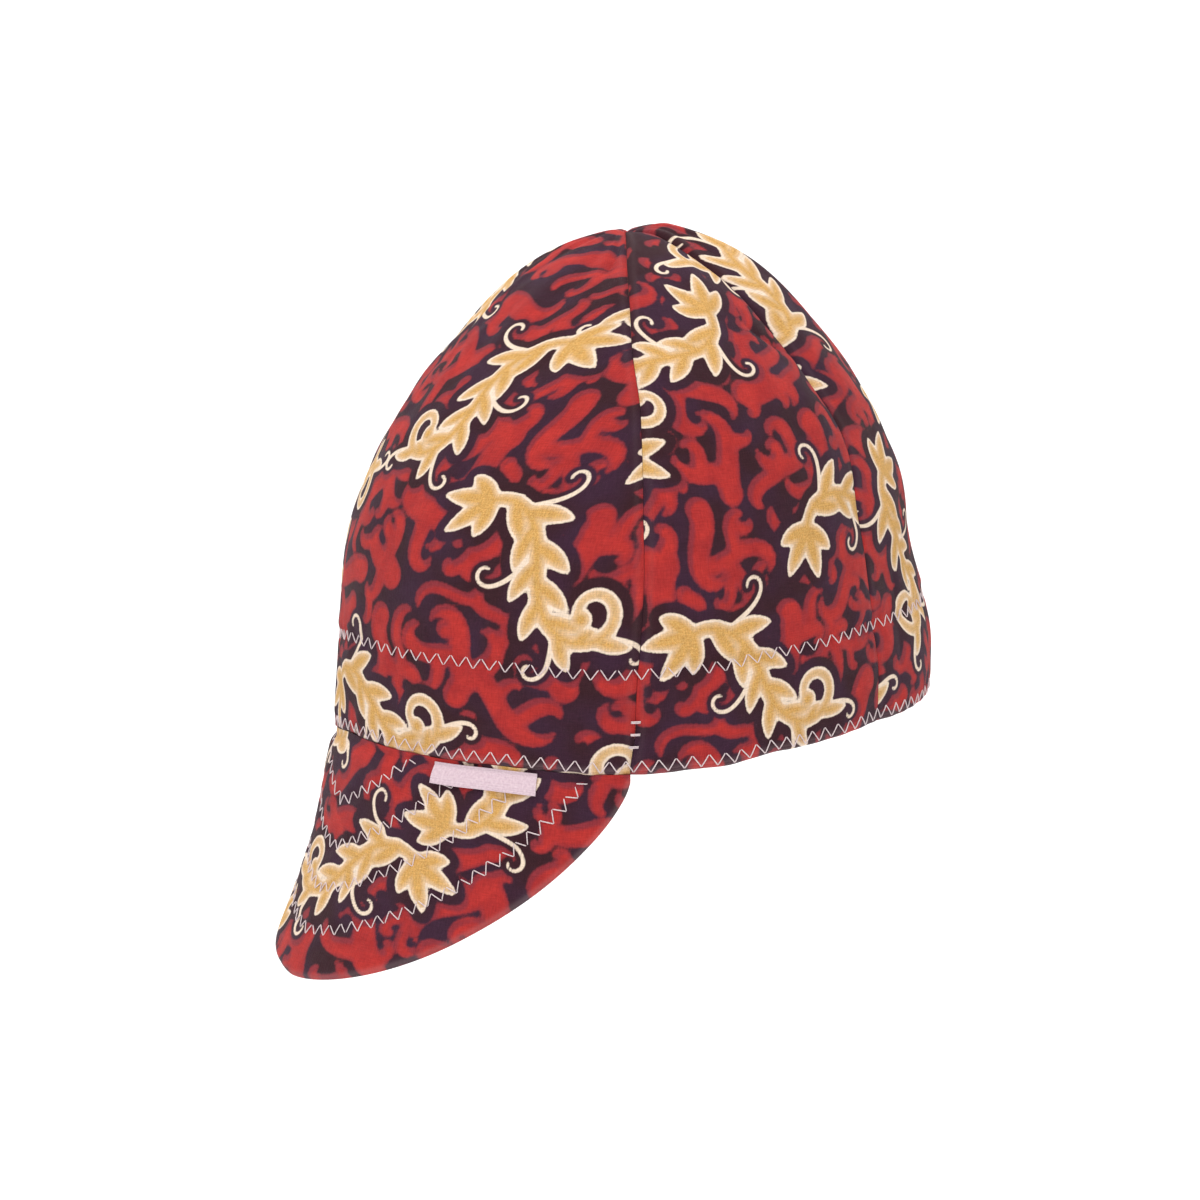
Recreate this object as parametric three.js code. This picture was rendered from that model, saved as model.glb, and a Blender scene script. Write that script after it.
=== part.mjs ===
import * as THREE from 'three';

// Welding cap, in millimetres and degrees. +Z is up, the bill points along -Y, and +X is the wearer's left.
// Directions round the cap are counted from the front, positive towards the wearer's left.
// The origin is the middle of the head opening, in the level where the cap sits on the head.

// Head opening and crown
const headLength = 198;
const headWidth = 170;
const crownHeight = 160.5;
const domeRise = 0.73;
const domeTaper = 1.27;
const apexForward = 4;
const apexSide = 1.6;
const rimFlare = 0.6;
const bandHeight = 32.5;
const crownEye = 1.5;

// Cloth
const clothWall = 1.5;
const hemWall = 1.2;
const hemLap = 2;
const pieceGap = 0.3;

// Seams
const frontSeam = 65;
const rearSeam = 120;
const seamDip = 2;
const seamSpread = 8;
const foldDepth = 2;

// Bill
const billLength = 81.5;
const billEndLength = 2.5;
const billWall = 2.4;
const billRoundness = 1.57;
const billTaper = 0.79;
const billSideSlope = 10;

// Label
const labelLength = 35;
const labelDrop = 7.5;
const labelWall = 1;
const labelMiddle = 37;

// Mesh steps
const panelStep = 3.4;
const domeRows = 11;
const bandRows = 4;
const billColumns = 40;
const labelColumns = 10;

// Height of the hem edge round the cap, as shares of the band height
const hemRise = [
  { at: -180, rise: 0.12 },
  { at: -120, rise: 0.06 },
  { at: -65, rise: -0.12 },
  { at: -30, rise: -0.21 },
  { at: 0, rise: -0.05 },
  { at: 35, rise: -0.07 },
  { at: 65, rise: -0.14 },
  { at: 80, rise: -0.1 },
  { at: 95, rise: 0 },
  { at: 120, rise: 0.08 },
  { at: 180, rise: 0.12 },
];

// Depth of the valley along each seam near the rim, half way up and near the top, as shares of the seam dip
const seamValleys = [
  { at: frontSeam, low: 0.5, middle: 0.7, high: 0.6 },
  { at: rearSeam, low: 0.5, middle: 0.9, high: 1.5 },
  { at: 180, low: 0.4, middle: 0.7, high: 0.7 },
  { at: -rearSeam, low: 0.5, middle: 0.8, high: 1 },
  { at: -frontSeam, low: 0.5, middle: 0.7, high: 0.6 },
];

// Soft dents and swellings: direction and half-width round the cap in degrees, height and half-height
// as shares of the crown height, and push outwards as a share of the fold depth
const folds = [
  { at: 0, wide: 70, height: 0.38, tall: 0.13, push: 0.25 },
  { at: 0, wide: 70, height: 0.6, tall: 0.13, push: -1.3 },
  { at: 0, wide: 70, height: 0.8, tall: 0.13, push: -2.45 },
  { at: 165, wide: 55, height: 0.1, tall: 0.12, push: 1.1 },
  { at: 165, wide: 55, height: 0.3, tall: 0.12, push: -1.6 },
  { at: 165, wide: 55, height: 0.57, tall: 0.12, push: -0.25 },
  { at: 165, wide: 55, height: 0.95, tall: 0.12, push: 2.25 },
  { at: 104, wide: 12, height: 0.82, tall: 0.07, push: -1 },
  { at: 44, wide: 12, height: 0.93, tall: 0.06, push: -0.6 },
  { at: 128, wide: 5, height: 0.25, tall: 0.16, push: -0.8 },
  { at: -90, wide: 14, height: 0.62, tall: 0.12, push: -0.7 },
  { at: -140, wide: 9, height: 0.3, tall: 0.2, push: -0.6 },
];

// Slope of the bill below the level at shares of its length
const billSlope = [
  { share: 0, slope: 90 },
  { share: 0.04, slope: 50 },
  { share: 0.09, slope: 76 },
  { share: 0.25, slope: 79.5 },
  { share: 0.55, slope: 70.5 },
  { share: 1, slope: 66 },
];
const billRows = [0, 0.015, 0.03, 0.05, 0.075, 0.11, 0.17, 0.28, 0.42, 0.56, 0.7, 0.85, 1];
const labelRows = [0, 0.15, 0.3, 0.5, 0.75, 1];

// Materials
const clothLook = { color: 0x8f2a30, roughness: 0.92, metalness: 0 };
const hemLook = { color: 0x7d2430, roughness: 0.92, metalness: 0 };
const billLook = { color: 0x8a2830, roughness: 0.92, metalness: 0 };
const labelLook = { color: 0xe6d6dc, roughness: 0.8, metalness: 0 };

const rimHalfLength = headLength / 2 + hemWall + pieceGap + clothWall;
const rimHalfWidth = headWidth / 2 + hemWall + pieceGap + clothWall;
const rad = THREE.MathUtils.degToRad;
const ease = THREE.MathUtils.smoothstep;

// Shortest way from one direction to another
function turn(from, to) {
  return ((((to - from + 180) % 360) + 360) % 360) - 180;
}

function hump(x, half) {
  return Math.exp(-((x / half) ** 2));
}

// Smooth value of a table column between its rows
function along(table, key, value, x) {
  for (let i = 1; i < table.length; i += 1) {
    const a = table[i - 1];
    const b = table[i];
    if (x <= b[key]) {
      const k = ease(x, a[key], b[key]);
      return a[value] + (b[value] - a[value]) * k;
    }
  }
  return table[table.length - 1][value];
}

// Share of the rim's size that is left at a height
function shrink(h) {
  const u = Math.min(h / crownHeight, 1);
  return (1 - u ** (2 / domeRise)) ** (domeTaper / 2);
}

function heightWhere(share) {
  return crownHeight * (1 - share ** (2 / domeTaper)) ** (domeRise / 2);
}

// Outside of the crown before its seams and folds
function plainCrown(t, h) {
  const k = shrink(h);
  const flare = rimFlare * Math.max(0, 1 - h / bandHeight);
  const lift = along(hemRise, 'at', 'rise', turn(0, t)) * bandHeight * (1 - ease(h, bandHeight, 2.5 * bandHeight));
  return new THREE.Vector3(
    (rimHalfWidth * k + flare) * Math.sin(rad(t)) + apexSide * (1 - k),
    -(rimHalfLength * k + flare) * Math.cos(rad(t)) - apexForward * (1 - k),
    h + lift,
  );
}

// Length of one degree round the cap at a height
function degreeLength(t, h) {
  const k = Math.max(shrink(h), crownEye / rimHalfLength);
  return rad(k * Math.hypot(rimHalfWidth * Math.cos(rad(t)), rimHalfLength * Math.sin(rad(t))));
}

function relief(t, h) {
  const u = h / crownHeight;
  const seamFade = ease(shrink(h) * rimHalfWidth, 0, 4 * seamSpread);
  const foldFade = ease(shrink(h) * rimHalfWidth, 0, 1.5 * seamSpread);
  let push = 0;
  for (const s of seamValleys) {
    const upper = s.middle + (s.high - s.middle) * ease(u, 0.5, 0.85);
    const depth = s.low + (upper - s.low) * ease(u, 0.1, 0.5);
    push -= seamFade * seamDip * depth * hump(turn(s.at, t) * degreeLength(t, h), seamSpread);
  }
  for (const f of folds) {
    push += foldFade * foldDepth * f.push * hump(turn(f.at, t), f.wide) * hump(u - f.height, f.tall);
  }
  return push;
}

// Outward direction of a surface given by a function of direction and height
function facing(surface, t, h) {
  const dt = 0.25;
  const dh = 0.25;
  const low = Math.max(h - dh, 0);
  const high = Math.min(h + dh, heightWhere(crownEye / rimHalfLength / 2));
  const across = surface(t + dt, h).sub(surface(t - dt, h));
  const upward = surface(t, high).sub(surface(t, low));
  return across.cross(upward).normalize();
}

function outside(t, h) {
  return plainCrown(t, h).addScaledVector(facing(plainCrown, t, h), relief(t, h));
}

// A point at a depth inside the crown's outside
function crownPoint(t, h, depth) {
  return outside(t, h).addScaledVector(facing(outside, t, h), -depth);
}

// Closed sheet between two grids of points, open along its sides or joined into a ring
function sheet(outer, inner, columns, rows, ring) {
  const points = [];
  const faces = [];
  const wide = ring ? columns : columns + 1;
  const tall = rows + 1;
  for (const side of [outer, inner]) {
    for (let j = 0; j < tall; j += 1) {
      for (let i = 0; i < wide; i += 1) points.push(...side(i, j).toArray());
    }
  }
  const at = (side, i, j) => side * wide * tall + j * wide + (i % wide);
  const quad = (a, b, c, d) => faces.push(a, b, c, a, c, d);
  for (let j = 0; j < rows; j += 1) {
    for (let i = 0; i < columns; i += 1) {
      quad(at(0, i, j), at(0, i + 1, j), at(0, i + 1, j + 1), at(0, i, j + 1));
      quad(at(1, i, j), at(1, i, j + 1), at(1, i + 1, j + 1), at(1, i + 1, j));
    }
  }
  for (let i = 0; i < columns; i += 1) {
    quad(at(1, i, 0), at(1, i + 1, 0), at(0, i + 1, 0), at(0, i, 0));
    quad(at(0, i, rows), at(0, i + 1, rows), at(1, i + 1, rows), at(1, i, rows));
  }
  if (!ring) {
    for (let j = 0; j < rows; j += 1) {
      quad(at(0, 0, j), at(0, 0, j + 1), at(1, 0, j + 1), at(1, 0, j));
      quad(at(1, columns, j), at(1, columns, j + 1), at(0, columns, j + 1), at(0, columns, j));
    }
  }
  const geometry = new THREE.BufferGeometry();
  geometry.setAttribute('position', new THREE.Float32BufferAttribute(points, 3));
  geometry.setIndex(faces);
  geometry.computeVertexNormals();
  return geometry;
}

function piece(name, geometry, look) {
  const mesh = new THREE.Mesh(geometry, new THREE.MeshStandardMaterial(look));
  mesh.name = name;
  return mesh;
}

// Heights of the rows of a panel, from the hem edge to the small eye where the points meet
function panelHeights() {
  const heights = [];
  for (let j = 0; j < bandRows; j += 1) heights.push((bandHeight * j) / bandRows);
  const start = Math.asin((bandHeight / crownHeight) ** (1 / domeRise));
  const end = Math.asin((heightWhere(crownEye / rimHalfLength) / crownHeight) ** (1 / domeRise));
  for (let j = 0; j <= domeRows; j += 1) {
    const angle = start + (end - start) * (j / domeRows) ** 1.25;
    heights.push(crownHeight * Math.sin(angle) ** domeRise);
  }
  return heights;
}

function crownPanel(name, from, to) {
  const heights = panelHeights();
  const columns = Math.round((to - from) / panelStep);
  const point = (i, j, depth) => {
    const h = heights[j];
    const a = from + pieceGap / 2 / degreeLength(from, h);
    const b = to - pieceGap / 2 / degreeLength(to, h);
    return crownPoint(a + ((b - a) * i) / columns, h, depth);
  };
  const outer = (i, j) => point(i, j, 0);
  const inner = (i, j) => point(i, j, clothWall);
  return piece(name, sheet(outer, inner, columns, heights.length - 1, false), clothLook);
}

function hemBand() {
  const columns = Math.round(360 / panelStep);
  const hemTop = bandHeight + hemLap;
  const point = (i, j, depth) => crownPoint(-180 + (360 * i) / columns, (hemTop * j) / bandRows, depth);
  const outer = (i, j) => point(i, j, clothWall + pieceGap);
  const inner = (i, j) => point(i, j, clothWall + pieceGap + hemWall);
  return piece('hem_band', sheet(outer, inner, columns, bandRows, true), hemLook);
}

// Length of the bill from the rim to its edge
function billReach(t) {
  const fall = Math.max(0, 1 - Math.abs(t / frontSeam) ** billRoundness) ** billTaper;
  return billEndLength + (billLength - billEndLength) * fall;
}

// A point of the bill at a distance from the rim and a height over its middle layer
function billPoint(t, reach, over) {
  const layers = clothWall + pieceGap + hemWall;
  const outerEdge = crownPoint(t, 0, 0);
  const innerEdge = crownPoint(t, 0, layers);
  const out = outerEdge.clone().sub(innerEdge).setZ(0).normalize();
  const root = outerEdge.clone().add(innerEdge).multiplyScalar(0.5);
  root.z = Math.min(outerEdge.z, innerEdge.z) - pieceGap;
  const side = billSideSlope * (t / frontSeam) ** 2;
  const slopeAt = (share) => {
    const slope = along(billSlope, 'share', 'slope', share);
    return rad(slope + side * ease(share, 0, 0.1));
  };
  const steps = 40;
  for (let i = 0; i < steps; i += 1) {
    const slope = slopeAt((reach * (i + 0.5)) / steps / billLength);
    root.addScaledVector(out, (Math.cos(slope) * reach) / steps);
    root.z -= (Math.sin(slope) * reach) / steps;
  }
  const slope = slopeAt(reach / billLength);
  root.addScaledVector(out, Math.sin(slope) * over);
  root.z += Math.cos(slope) * over;
  return root;
}

function bill() {
  const point = (i, j, over) => {
    const t = frontSeam * ((2 * i) / billColumns - 1);
    return billPoint(t, billReach(t) * billRows[j], over);
  };
  const outer = (i, j) => point(i, billRows.length - 1 - j, billWall / 2);
  const inner = (i, j) => point(i, billRows.length - 1 - j, -billWall / 2);
  return piece('bill', sheet(outer, inner, billColumns, billRows.length - 1, false), billLook);
}

// The label hangs from the hem seam over the bill
function label() {
  const half = labelLength / 2 / degreeLength(labelMiddle, 0);
  const rest = billWall / 2 + pieceGap;
  const point = (i, j, over) => {
    const t = labelMiddle + half * ((2 * i) / labelColumns - 1);
    return billPoint(t, pieceGap + labelDrop * labelRows[j], over);
  };
  const last = labelRows.length - 1;
  const outer = (i, j) => point(i, last - j, rest + labelWall);
  const inner = (i, j) => point(i, last - j, rest);
  return piece('label', sheet(outer, inner, labelColumns, last, false), labelLook);
}

const cap = new THREE.Group();
cap.name = 'welding_cap';
cap.add(crownPanel('front_panel', -frontSeam, frontSeam));
cap.add(crownPanel('side_panel_left', frontSeam, rearSeam));
cap.add(crownPanel('side_panel_right', -rearSeam, -frontSeam));
cap.add(crownPanel('back_panel_left', rearSeam, 180));
cap.add(crownPanel('back_panel_right', -180, -rearSeam));
cap.add(hemBand());
cap.add(bill());
cap.add(label());

export default cap;
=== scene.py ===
"""Sewn cotton welding cap, seen from the wearer's left front."""

import math

import bpy
import numpy as np
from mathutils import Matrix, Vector


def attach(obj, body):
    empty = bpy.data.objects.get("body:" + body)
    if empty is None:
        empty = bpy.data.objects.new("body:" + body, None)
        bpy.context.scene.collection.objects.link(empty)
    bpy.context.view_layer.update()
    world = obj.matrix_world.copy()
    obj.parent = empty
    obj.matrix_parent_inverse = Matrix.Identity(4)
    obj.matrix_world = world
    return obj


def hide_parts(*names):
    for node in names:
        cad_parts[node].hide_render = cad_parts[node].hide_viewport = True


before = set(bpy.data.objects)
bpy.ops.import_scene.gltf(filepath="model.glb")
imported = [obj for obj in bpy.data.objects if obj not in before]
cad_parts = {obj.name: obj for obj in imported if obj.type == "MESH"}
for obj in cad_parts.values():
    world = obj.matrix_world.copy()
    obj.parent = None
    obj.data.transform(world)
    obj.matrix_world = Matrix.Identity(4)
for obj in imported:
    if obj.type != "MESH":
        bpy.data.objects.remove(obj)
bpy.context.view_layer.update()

# Metres in a millimetre
MM = 0.001

# Crown, in millimetres and degrees, counted from the front towards the wearer's left
HEAD_LENGTH = 198.0
HEAD_WIDTH = 170.0
CROWN_HEIGHT = 160.5
DOME_RISE = 0.73
DOME_TAPER = 1.27
APEX_FORWARD = 4.0
APEX_SIDE = 1.6
RIM_FLARE = 0.6
BAND_HEIGHT = 32.5
CLOTH_WALL = 1.5
HEM_WALL = 1.2
HEM_LAP = 2.0
PIECE_GAP = 0.3
FRONT_SEAM = 65.0
REAR_SEAM = 120.0
SEAM_DIP = 2.0
SEAM_SPREAD = 8.0
FOLD_DEPTH = 2.0
TIP_SHARE = 0.004

# Bill and label
BILL_LENGTH = 81.5
BILL_END_LENGTH = 2.5
BILL_WALL = 2.4
BILL_ROUNDNESS = 1.57
BILL_TAPER = 0.79
BILL_SIDE_SLOPE = 10.0
ROOT_RISE = 0.75
ROOT_REACH = 2.0
LABEL_LENGTH = 35.0
LABEL_DROP = 7.5
LABEL_MIDDLE = 37.0
LABEL_WALL = 0.5
LABEL_LIFT = 0.45

# Stitching
STITCH_LENGTH = 2.75
STITCH_WIDTH = 3.9
THREAD = 0.2
LOWER_ROW = 2.8
TACK_HEIGHT = 9.0
TACK_PITCH = 4.0
TACK_HALF_TURN = 0.9
TACK_BARS = 3
BILL_ROWS = (16.0, 30.0, 44.0, 58.0)
ROW_DRIFT = 3.0
ROW_END = 1.2
UNDER_SHARE = 0.4

# A stitch: shares of its length, height of its thread there over the cloth, and sides of the thread
STITCH_SHARES = np.array([0, 0.05, 0.25, 0.75, 0.95, 1.0])
STITCH_BOW = np.array([-0.25, 0.14, 0.3, 0.3, 0.14, -0.25])
THREAD_SIDES = 6

# Mesh pitch of the cloth's outside and inside
FINE = 0.85
COARSE = 2.6

HALF_LENGTH = HEAD_LENGTH / 2 + HEM_WALL + PIECE_GAP + CLOTH_WALL
HALF_WIDTH = HEAD_WIDTH / 2 + HEM_WALL + PIECE_GAP + CLOTH_WALL
LAYERS = CLOTH_WALL + PIECE_GAP + HEM_WALL
FOLD_RADIUS = LAYERS / 2

# Direction and height of the hem edge, as a share of the band height
HEM_RISE = (
    (-180, 0.12), (-120, 0.06), (-65, -0.12), (-30, -0.21), (0, -0.05), (35, -0.07),
    (65, -0.14), (80, -0.1), (95, 0), (120, 0.08), (180, 0.12),
)

# Band heights up to which the unevenness of the hem line reaches
HEM_FADE = 2.5

# Seam direction and depth of its valley near the rim, half way up and near the top
SEAM_VALLEYS = (
    (FRONT_SEAM, 0.5, 0.7, 0.6),
    (REAR_SEAM, 0.5, 0.9, 1.5),
    (180, 0.4, 0.7, 0.7),
    (-REAR_SEAM, 0.5, 0.8, 1),
    (-FRONT_SEAM, 0.5, 0.7, 0.6),
)

# Shares of the crown height over which a valley goes from its first depth to its second, and on to its third
VALLEY_LOW = (0.1, 0.5)
VALLEY_HIGH = (0.5, 0.85)

# Share of the crown height and degrees that the seams beside the bill and behind the ears bow backwards
FRONT_BOW = ((0, 0), (0.1, 1.0), (0.42, 2.8), (0.68, 3.0), (0.83, 1.2), (1, 0))
REAR_BOW = ((0, 0), (0.42, 0.5), (0.64, 5.2), (0.77, 3.2), (1, 0))

# Direction, half-width in degrees, height, half-height and outward push of each soft dent or swelling
FOLDS = (
    (0, 70, 0.38, 0.13, 0.25),
    (0, 70, 0.6, 0.13, -1.3),
    (0, 70, 0.8, 0.13, -2.45),
    (165, 55, 0.1, 0.12, 1.1),
    (165, 55, 0.3, 0.12, -1.6),
    (165, 55, 0.57, 0.12, -0.25),
    (165, 55, 0.95, 0.12, 2.25),
    (104, 12, 0.82, 0.07, -1),
    (44, 12, 0.93, 0.06, -0.6),
    (128, 5, 0.25, 0.16, -0.8),
    (-90, 14, 0.62, 0.12, -0.7),
    (-140, 9, 0.3, 0.2, -0.6),
)

# Sharp creases of the cloth: ends as direction and height, half-width and depth
CREASES = (
    (59.5, 158.0, 49.5, 149.5, 2.2, 1.4),
    (108.0, 134.0, 122.5, 123.5, 2.4, 1.7),
    (133.5, 60.0, 127.5, 14.0, 3.5, 1.0),
    (20.0, 110.0, 34.0, 96.0, 5.0, 0.7),
    (-52.0, 128.0, -30.0, 116.0, 4.5, 0.9),
    (-140.0, 70.0, -131.0, 34.0, 4.0, 1.0),
    (158.0, 96.0, 170.0, 60.0, 4.5, 0.8),
)

# Shares of a crease's length over which it fades in, from a little before its end
CREASE_FADE = (-0.1, 0.3)

# Grooves along the seams: depth, added depth near the top, half-width, and height of the ripples beside them
SEAM_GROOVE = 0.8
SEAM_GROOVE_TOP = 0.6
SEAM_GROOVE_HALF = 1.4
SEAM_RIPPLE = 0.16

# Stitch rows: depth and half-width of the groove, height, half-width and pitch of the puckers beside it
ROW_GROOVE = 0.5
ROW_GROOVE_HALF = 2.2
PUCKER = 0.26
PUCKER_HALF = 6.0
PUCKER_PITCH = 1.46
HEM_PUCKER = 0.2

# Swelling above the band, and the slack of the cloth in long and in short waves
BAND_SWELL = 0.5
LONG_SLACK = 0.5
SHORT_SLACK = 0.22

# Length of a degree along the rim, on average
RIM_DEGREE = 1.65

# Gap of each panel to its seam, depth of its inside, and width, step and edge of the seam allowance
SEAM_GAP = 0.06
INSIDE_DEPTH = 0.9
ALLOWANCE = 7.0
ALLOWANCE_DEPTH = 0.6
ALLOWANCE_EDGE = 1.5

# Share of the bill's length and its slope below the level
BILL_SLOPE = ((0, 90), (0.04, 50), (0.09, 76), (0.25, 79.5), (0.55, 70.5), (1, 66))
BILL_STEPS = 160

# Face of the bill: waves of the padding, depth of the grooves, and height and half-width of their puckers
BILL_WAVE = 0.12
BILL_GROOVE = 0.7
BILL_PUCKER = 0.2
BILL_PUCKER_HALF = 5.0

# Crown panels: from and to direction, and place on the cloth (x, y, angle)
PANELS = (
    ("front_panel", -FRONT_SEAM, FRONT_SEAM, (30.0, 12.0, 4.0)),
    ("side_panel_left", FRONT_SEAM, REAR_SEAM, (96.0, 52.0, -6.0)),
    ("side_panel_right", -REAR_SEAM, -FRONT_SEAM, (150.0, 80.0, 5.0)),
    ("back_panel_left", REAR_SEAM, 180.0, (20.0, 130.0, 8.0)),
    ("back_panel_right", -180.0, -REAR_SEAM, (70.0, 170.0, -4.0)),
)
HEM_PLACE = (60.0, 40.0, 3.0)
BILL_PLACE = (128.0, 66.0, 10.0)
UNDER_PLACE = (10.0, 90.0, 14.0)
LABEL_PLACE = (0.0, 0.0, 0.0)

# Print: side of the repeating square of cloth, points along it, and seed of its random tongues
TILE = 208.0
GRID = 416
CELL = TILE / GRID
SEED = 7

# Sets of tongues from the stoutest to the finest: tries, length, radius at the root, share that branch off
TONGUES = ((700, 30.0, 3.9, 0.3), (4200, 22.0, 3.3, 0.9), (5600, 16.0, 2.7, 0.9), (5600, 10.0, 2.0, 0.8))
TONGUE_POINTS = 16
TONGUE_BENDS = (-0.7, 0.6, 2.1)
TONGUE_GAP = 1.15
FATTEN = 0.5
SHADE_SHIFT = 1.3

# Fronds on the square: middle as shares of its side, heading in degrees, size, and hand of the roll
FRONDS = (
    (0.20, 0.12, 60, 1.0, 1),
    (0.70, 0.13, 140, 0.97, -1),
    (0.46, 0.38, 25, 1.0, 1),
    (0.95, 0.36, 345, 0.96, -1),
    (0.21, 0.63, 170, 1.0, -1),
    (0.71, 0.62, 75, 1.0, 1),
    (0.44, 0.88, 280, 0.97, 1),
    (0.96, 0.87, 215, 1.0, -1),
)
FROND_LENGTH = 94.0
FROND_RADIUS = 3.1
FROND_BENDS = (-1.5, -0.5, 0.8, 1.9, 3.8)
FROND_POINTS = 150
FROND_TIP = 3.2
LEAF_WIDTH = 6.8

# Leaves at a frond's foot: spread in radians and length
FAN = ((-1.25, 12), (-0.45, 17), (0.4, 17), (1.2, 12))

# Tendrils: point of the stem, side of the roll or the other side, and length
TENDRILS = ((20, 1, 27), (47, -1, 27), (84, -1, 24), (108, -1, 20))
TENDRIL_POINTS = 50

# Dark ground kept free around the gold shapes and around the thin lines
GOLD_HALO = 3.1
LINE_HALO = 1.5

# The photograph's view: turn and rise of the camera, its distance, and pixels to a millimetre at the cap
VIEW_TURN = math.radians(62)
VIEW_RISE = math.radians(12.5)
VIEW_DISTANCE = 1.3
VIEW_SCALE = 2.951
SENSOR = 36.0

# Side of the photograph in pixels, and the pixel where the middle of the head opening lies
PHOTO_SIDE = 1200
OPENING_PIXEL = (633.1, 700.2)

# Floor and backdrop in metres: height, near and far end, radius of the curve, top and half-width
FLOOR = -0.30
FLOOR_NEAR = -3.0
FLOOR_FAR = 1.6
SWEEP = 0.8
BACKDROP_TOP = 3.6
STAGE_HALF = 4.0

# Where the lamps point
ON_CAP = (0, 0, 0.06)
BEHIND = (-1.5 * math.sin(VIEW_TURN), 1.5 * math.cos(VIEW_TURN), FLOOR)

# Lamps: name, turn from the camera and rise in degrees, distance and size in metres, power, and aim
LAMPS = (
    ("key", -24, 64, 2.2, 1.2, 25, ON_CAP),
    ("fill", 35, 25, 2.4, 1.8, 3, ON_CAP),
    ("backdrop", 180, 46, 2.2, 2.0, 22, BEHIND),
)
WORLD_LIGHT = 0.76


# Crown and bill surfaces


def ease(x, a, b):
    """0 up to a, 1 from b on, and a smooth step between."""
    k = np.clip((x - a) / (b - a), 0, 1)
    return k * k * (3 - 2 * k)


def turn(a, b):
    """Degrees from one direction to another, by the shorter way."""
    return (b - a + 180) % 360 - 180


def hump(x, half):
    """Smooth bump of height 1 around zero."""
    return np.exp(-((x / half) ** 2))


def unit(vectors):
    return vectors / np.linalg.norm(vectors, axis=-1, keepdims=True)


def along(table, x):
    """Value at x of a table of places and values, with smooth steps between its rows."""
    x = np.asarray(x, float)
    out = np.full(x.shape, float(table[-1][1]))
    for (a, va), (b, vb) in reversed(list(zip(table[:-1], table[1:]))):
        out = np.where(x <= b, va + (vb - va) * ease(x, a, b), out)
    return out


def shrink(h):
    """Size of the crown's outline at a height, as a share of the rim's."""
    u = np.clip(h / CROWN_HEIGHT, 0, 1)
    return (1 - u ** (2 / DOME_RISE)) ** (DOME_TAPER / 2)


def height_where(share):
    """Height at which the crown's outline has shrunk to a share."""
    return CROWN_HEIGHT * (1 - share ** (2 / DOME_TAPER)) ** (DOME_RISE / 2)


def plain_crown(t, h):
    """Smooth dome on the uneven hem line."""
    k = shrink(h)
    flare = RIM_FLARE * np.maximum(0, 1 - h / BAND_HEIGHT)
    fade = 1 - ease(h, BAND_HEIGHT, HEM_FADE * BAND_HEIGHT)
    lift = along(HEM_RISE, turn(0, t)) * BAND_HEIGHT * fade
    a = np.radians(t)
    x = (HALF_WIDTH * k + flare) * np.sin(a) + APEX_SIDE * (1 - k)
    y = -(HALF_LENGTH * k + flare) * np.cos(a) - APEX_FORWARD * (1 - k)
    return np.stack([x, y, h + lift], -1)


def degree_length(t, h):
    """Length of one degree around the crown at a height."""
    a = np.radians(t)
    around = np.hypot(HALF_WIDTH * np.cos(a), HALF_LENGTH * np.sin(a))
    return np.radians(np.maximum(shrink(h), TIP_SHARE) * around)


def seam_at(at, h):
    """Direction of a seam at a height."""
    bow = {FRONT_SEAM: FRONT_BOW, REAR_SEAM: REAR_BOW}.get(abs(at), ((0, 0), (1, 0)))
    return at + math.copysign(1, at) * along(bow, h / CROWN_HEIGHT)


def relief(t, h):
    """Valleys along the seams and the soft dents and swellings."""
    u = h / CROWN_HEIGHT
    seam_fade = ease(shrink(h) * HALF_WIDTH, 0, 4 * SEAM_SPREAD)
    fold_fade = ease(shrink(h) * HALF_WIDTH, 0, 1.5 * SEAM_SPREAD)
    push = np.zeros_like(u)
    for at, low, middle, high in SEAM_VALLEYS:
        upper = middle + (high - middle) * ease(u, *VALLEY_HIGH)
        depth = low + (upper - low) * ease(u, *VALLEY_LOW)
        off = turn(seam_at(at, h), t) * degree_length(t, h)
        push -= seam_fade * SEAM_DIP * depth * hump(off, SEAM_SPREAD)
    for at, wide, height, tall, out in FOLDS:
        push += fold_fade * FOLD_DEPTH * out * hump(turn(at, t), wide) * hump(u - height, tall)
    return push


def crease_depth(t, h):
    """How far the sharp creases sink the cloth, fading towards their ends."""
    depth = np.zeros_like(h)
    for t0, h0, t1, h1, half, deep in CREASES:
        scale = degree_length((t0 + t1) / 2, np.full_like(h, (h0 + h1) / 2))
        x, y = turn(t0, t) * scale, h - h0
        dx, dy = turn(t0, t1) * scale, h1 - h0
        length = dx ** 2 + dy ** 2
        k = (x * dx + y * dy) / length
        off = np.abs(x * dy - y * dx) / np.sqrt(length)
        ends = ease(k, *CREASE_FADE) * ease(1 - k, *CREASE_FADE)
        depth += deep * ends * np.exp(-off / half) * (1 - 0.3 * hump(off - 2 * half, half))
    return depth


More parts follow.
